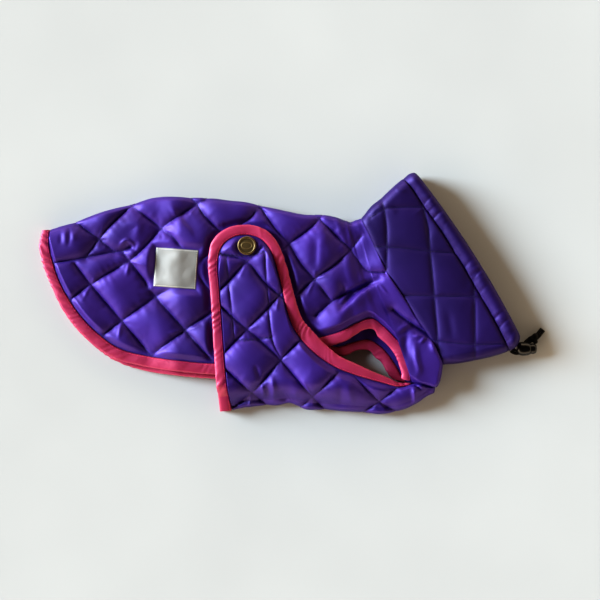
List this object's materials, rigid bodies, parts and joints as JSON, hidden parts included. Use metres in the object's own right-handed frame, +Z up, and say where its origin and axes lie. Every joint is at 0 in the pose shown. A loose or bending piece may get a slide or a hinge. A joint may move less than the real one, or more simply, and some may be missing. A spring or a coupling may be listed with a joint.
{
  "type": "dog winter coat",
  "caption": "Quilted dog coat with funnel collar, drawstring and wrap-round belly flap, folded flat on its side.",
  "frame": {"origin": "on the ground under the middle of the coat's own box, without the drawstring", "axes": "+X towards the head end, +Y towards the back fold, +Z up from the ground that the coat lies on"},
  "size_m": [0.5607, 0.2682, 0.0352],
  "materials": {
    "quilted_nylon": "purple quilted nylon with a soft sheen",
    "satin_binding": "pink bias binding with a satin sheen",
    "woven_label": "off-white woven label, blank",
    "antique_brass": "antique brass, darkened in the hollows",
    "black_cord": "black braided cord",
    "black_plastic": "glossy black moulded plastic"
  },
  "bodies": {
    "root": {"back_panel": "quilted_nylon", "belly_panel": "quilted_nylon", "collar": "quilted_nylon", "collar_casing": "quilted_nylon", "hem_binding_right": "satin_binding", "hem_binding_left": "satin_binding", "belly_binding_right": "satin_binding", "belly_binding_left": "satin_binding", "label": "woven_label", "stud_cap": "antique_brass", "drawcord_a": "black_cord", "drawcord_b": "black_cord", "cord_lock_barrel": "black_plastic", "cord_lock_button": "black_plastic", "cord_knot": "black_cord"}
  },
  "joints": []
}
